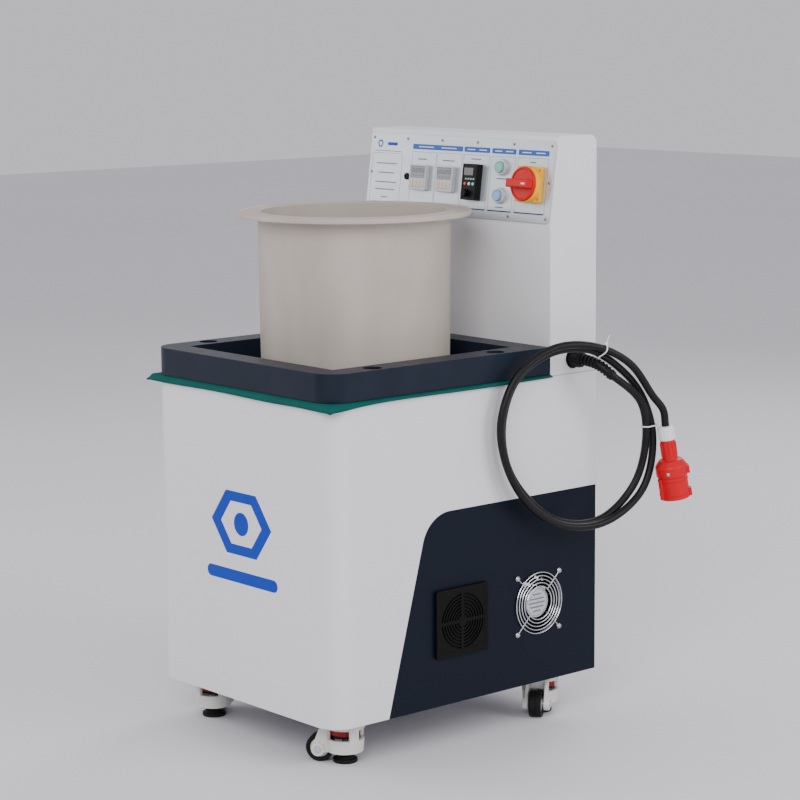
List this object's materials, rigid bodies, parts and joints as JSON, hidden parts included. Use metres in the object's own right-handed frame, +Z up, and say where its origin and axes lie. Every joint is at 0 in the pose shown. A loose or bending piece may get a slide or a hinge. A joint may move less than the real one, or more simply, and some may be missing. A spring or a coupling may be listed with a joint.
{
  "type": "magnetic polishing tumbler",
  "caption": "Floor-standing magnetic tumbler: a cabinet on levelling castors, a lift-off tub over a turning magnet disc, and a control tower with a mains cord.",
  "frame": {"origin": "on the floor, under the middle of the machine's overall box", "axes": "+Z up, -Y the front, +X the side with the fan and the mains cord"},
  "size_m": [0.6737, 0.7598, 1.0803],
  "materials": {
    "white_powder_coat": "satin powder coat",
    "navy_paint": "semi-gloss",
    "green_rubber": "matt",
    "grey_moulding": "matt",
    "frame_steel": "mill finish",
    "zinc_plate": "bright zinc",
    "aluminium": "satin anodised",
    "motor_paint": "semi-gloss",
    "black_moulding": "matt",
    "black_rubber": "matt",
    "filter_foam": "open foam",
    "ivory_casting": "satin",
    "red_moulding": "gloss",
    "plug_red": "gloss",
    "plug_white": "gloss",
    "yellow_moulding": "gloss",
    "green_button": "gloss",
    "blue_button": "gloss"
  },
  "bodies": {
    "root": {"base_frame": "frame_steel", "motor_bridge": "frame_steel", "cabinet_shell": "white_powder_coat", "cabinet_rear_cover": "white_powder_coat", "deck_plate": "frame_steel", "drive_motor": "motor_paint", "inverter_drive": "black_moulding", "rubber_mat": "green_rubber", "tray_frame": "navy_paint", "tower_shell": "white_powder_coat", "tower_rear_cover": "white_powder_coat", "control_panel": "aluminium", "timer_1": "black_moulding", "timer_2": "black_moulding", "buzzer": "black_moulding", "keypad_body": "black_moulding", "start_bezel": "zinc_plate", "stop_bezel": "zinc_plate", "isolator_plate": "yellow_moulding", "filter_grille": "black_moulding", "filter_foam": "filter_foam", "fan_frame": "black_moulding", "fan_guard": "zinc_plate", "cord_gland": "black_moulding", "strain_relief": "black_rubber", "mains_cord": "black_rubber", "plug_nut": "plug_white", "plug_body": "plug_red", "castor_front_right_plate": "ivory_casting", "castor_front_left_plate": "ivory_casting", "castor_rear_right_plate": "ivory_casting", "castor_rear_left_plate": "ivory_casting"},
    "tub": {"tub": "grey_moulding"},
    "drive_rotor": {"motor_shaft": "frame_steel", "magnet_disc": "aluminium"},
    "fan_rotor": {"fan_rotor": "black_moulding"},
    "start_cap": {"start_cap": "green_button"},
    "stop_cap": {"stop_cap": "blue_button"},
    "isolator_knob": {"isolator_knob": "red_moulding"},
    "keypad_knob": {"keypad_knob": "black_moulding"},
    "castor_front_right_fork": {"castor_front_right_housing": "ivory_casting", "castor_front_right_axle": "zinc_plate"},
    "castor_front_right_wheel": {"castor_front_right_wheel": "black_rubber"},
    "castor_front_right_thumbwheel": {"castor_front_right_thumbwheel": "red_moulding"},
    "castor_front_right_foot": {"castor_front_right_foot": "black_rubber"},
    "castor_front_left_fork": {"castor_front_left_housing": "ivory_casting", "castor_front_left_axle": "zinc_plate"},
    "castor_front_left_wheel": {"castor_front_left_wheel": "black_rubber"},
    "castor_front_left_thumbwheel": {"castor_front_left_thumbwheel": "red_moulding"},
    "castor_front_left_foot": {"castor_front_left_foot": "black_rubber"},
    "castor_rear_right_fork": {"castor_rear_right_housing": "ivory_casting", "castor_rear_right_axle": "zinc_plate"},
    "castor_rear_right_wheel": {"castor_rear_right_wheel": "black_rubber"},
    "castor_rear_right_thumbwheel": {"castor_rear_right_thumbwheel": "red_moulding"},
    "castor_rear_right_foot": {"castor_rear_right_foot": "black_rubber"},
    "castor_rear_left_fork": {"castor_rear_left_housing": "ivory_casting", "castor_rear_left_axle": "zinc_plate"},
    "castor_rear_left_wheel": {"castor_rear_left_wheel": "black_rubber"},
    "castor_rear_left_thumbwheel": {"castor_rear_left_thumbwheel": "red_moulding"},
    "castor_rear_left_foot": {"castor_rear_left_foot": "black_rubber"}
  },
  "joints": [
    {"name": "tub_lift", "type": "slide", "parent": "root", "child": "tub", "axis": [0, 0, 1], "range_m": [0, 0.12]},
    {"name": "drive_spin", "type": "hinge", "parent": "root", "child": "drive_rotor", "pos_m": [0, -0.04, 0.6], "axis": [0, 0, 1], "continuous": true},
    {"name": "fan_spin", "type": "hinge", "parent": "root", "child": "fan_rotor", "pos_m": [0.23, 0.1732, 0.231], "axis": [1, 0, 0], "continuous": true},
    {"name": "start_press", "type": "slide", "parent": "root", "child": "start_cap", "axis": [0, 0.9916, -0.1297], "range_m": [0, 0.0035], "stiffness_N_per_m": 600, "springref_m": -0.004},
    {"name": "stop_press", "type": "slide", "parent": "root", "child": "stop_cap", "axis": [0, 0.9916, -0.1297], "range_m": [0, 0.0035], "stiffness_N_per_m": 600, "springref_m": -0.004},
    {"name": "isolator_turn", "type": "hinge", "parent": "root", "child": "isolator_knob", "pos_m": [0.202, 0.21258, 0.99131], "axis": [0, -0.9916, 0.1297], "range_deg": [-90, 0]},
    {"name": "keypad_turn", "type": "hinge", "parent": "root", "child": "keypad_knob", "pos_m": [0.044, 0.20946, 0.96751], "axis": [0, -0.9916, 0.1297], "range_deg": [-150, 150]},
    {"name": "front_right_swivel", "type": "hinge", "parent": "root", "child": "castor_front_right_fork", "pos_m": [0.194, -0.2335, 0.07], "axis": [0, 0, 1], "continuous": true},
    {"name": "front_right_roll", "type": "hinge", "parent": "castor_front_right_fork", "child": "castor_front_right_wheel", "pos_m": [0.15886, -0.25998, 0.025], "axis": [0.6018, -0.7986, 0], "continuous": true},
    {"name": "front_right_level", "type": "hinge", "parent": "castor_front_right_fork", "child": "castor_front_right_thumbwheel", "pos_m": [0.194, -0.2335, 0.053], "axis": [0, 0, 1], "range_deg": [-1029, 1646]},
    {"name": "front_right_foot", "type": "slide", "parent": "castor_front_right_fork", "child": "castor_front_right_foot", "axis": [0, 0, -1], "range_m": [-0.005, 0.008]},
    {"name": "front_left_swivel", "type": "hinge", "parent": "root", "child": "castor_front_left_fork", "pos_m": [-0.194, -0.2335, 0.07], "axis": [0, 0, 1], "continuous": true},
    {"name": "front_left_roll", "type": "hinge", "parent": "castor_front_left_fork", "child": "castor_front_left_wheel", "pos_m": [-0.22109, -0.19883, 0.025], "axis": [-0.788, -0.6157, 0], "continuous": true},
    {"name": "front_left_level", "type": "hinge", "parent": "castor_front_left_fork", "child": "castor_front_left_thumbwheel", "pos_m": [-0.194, -0.2335, 0.053], "axis": [0, 0, 1], "range_deg": [-1029, 1646]},
    {"name": "front_left_foot", "type": "slide", "parent": "castor_front_left_fork", "child": "castor_front_left_foot", "axis": [0, 0, -1], "range_m": [-0.005, 0.008]},
    {"name": "rear_right_swivel", "type": "hinge", "parent": "root", "child": "castor_rear_right_fork", "pos_m": [0.194, 0.2425, 0.07], "axis": [0, 0, 1], "continuous": true},
    {"name": "rear_right_roll", "type": "hinge", "parent": "castor_rear_right_fork", "child": "castor_rear_right_wheel", "pos_m": [0.22048, 0.20736, 0.025], "axis": [0.7986, 0.6018, 0], "continuous": true},
    {"name": "rear_right_level", "type": "hinge", "parent": "castor_rear_right_fork", "child": "castor_rear_right_thumbwheel", "pos_m": [0.194, 0.2425, 0.053], "axis": [0, 0, 1], "range_deg": [-1029, 1646]},
    {"name": "rear_right_foot", "type": "slide", "parent": "castor_rear_right_fork", "child": "castor_rear_right_foot", "axis": [0, 0, -1], "range_m": [-0.005, 0.008]},
    {"name": "rear_left_swivel", "type": "hinge", "parent": "root", "child": "castor_rear_left_fork", "pos_m": [-0.194, 0.2425, 0.07], "axis": [0, 0, 1], "continuous": true},
    {"name": "rear_left_roll", "type": "hinge", "parent": "castor_rear_left_fork", "child": "castor_rear_left_wheel", "pos_m": [-0.17471, 0.28205, 0.025], "axis": [-0.8988, 0.4384, 0], "continuous": true},
    {"name": "rear_left_level", "type": "hinge", "parent": "castor_rear_left_fork", "child": "castor_rear_left_thumbwheel", "pos_m": [-0.194, 0.2425, 0.053], "axis": [0, 0, 1], "range_deg": [-1029, 1646]},
    {"name": "rear_left_foot", "type": "slide", "parent": "castor_rear_left_fork", "child": "castor_rear_left_foot", "axis": [0, 0, -1], "range_m": [-0.005, 0.008]}
  ],
  "couplings": [
    {"joint": "front_right_level", "follows": "front_right_foot", "rad_per_m": 3590.4},
    {"joint": "front_left_level", "follows": "front_left_foot", "rad_per_m": 3590.4},
    {"joint": "rear_right_level", "follows": "rear_right_foot", "rad_per_m": 3590.4},
    {"joint": "rear_left_level", "follows": "rear_left_foot", "rad_per_m": 3590.4}
  ]
}
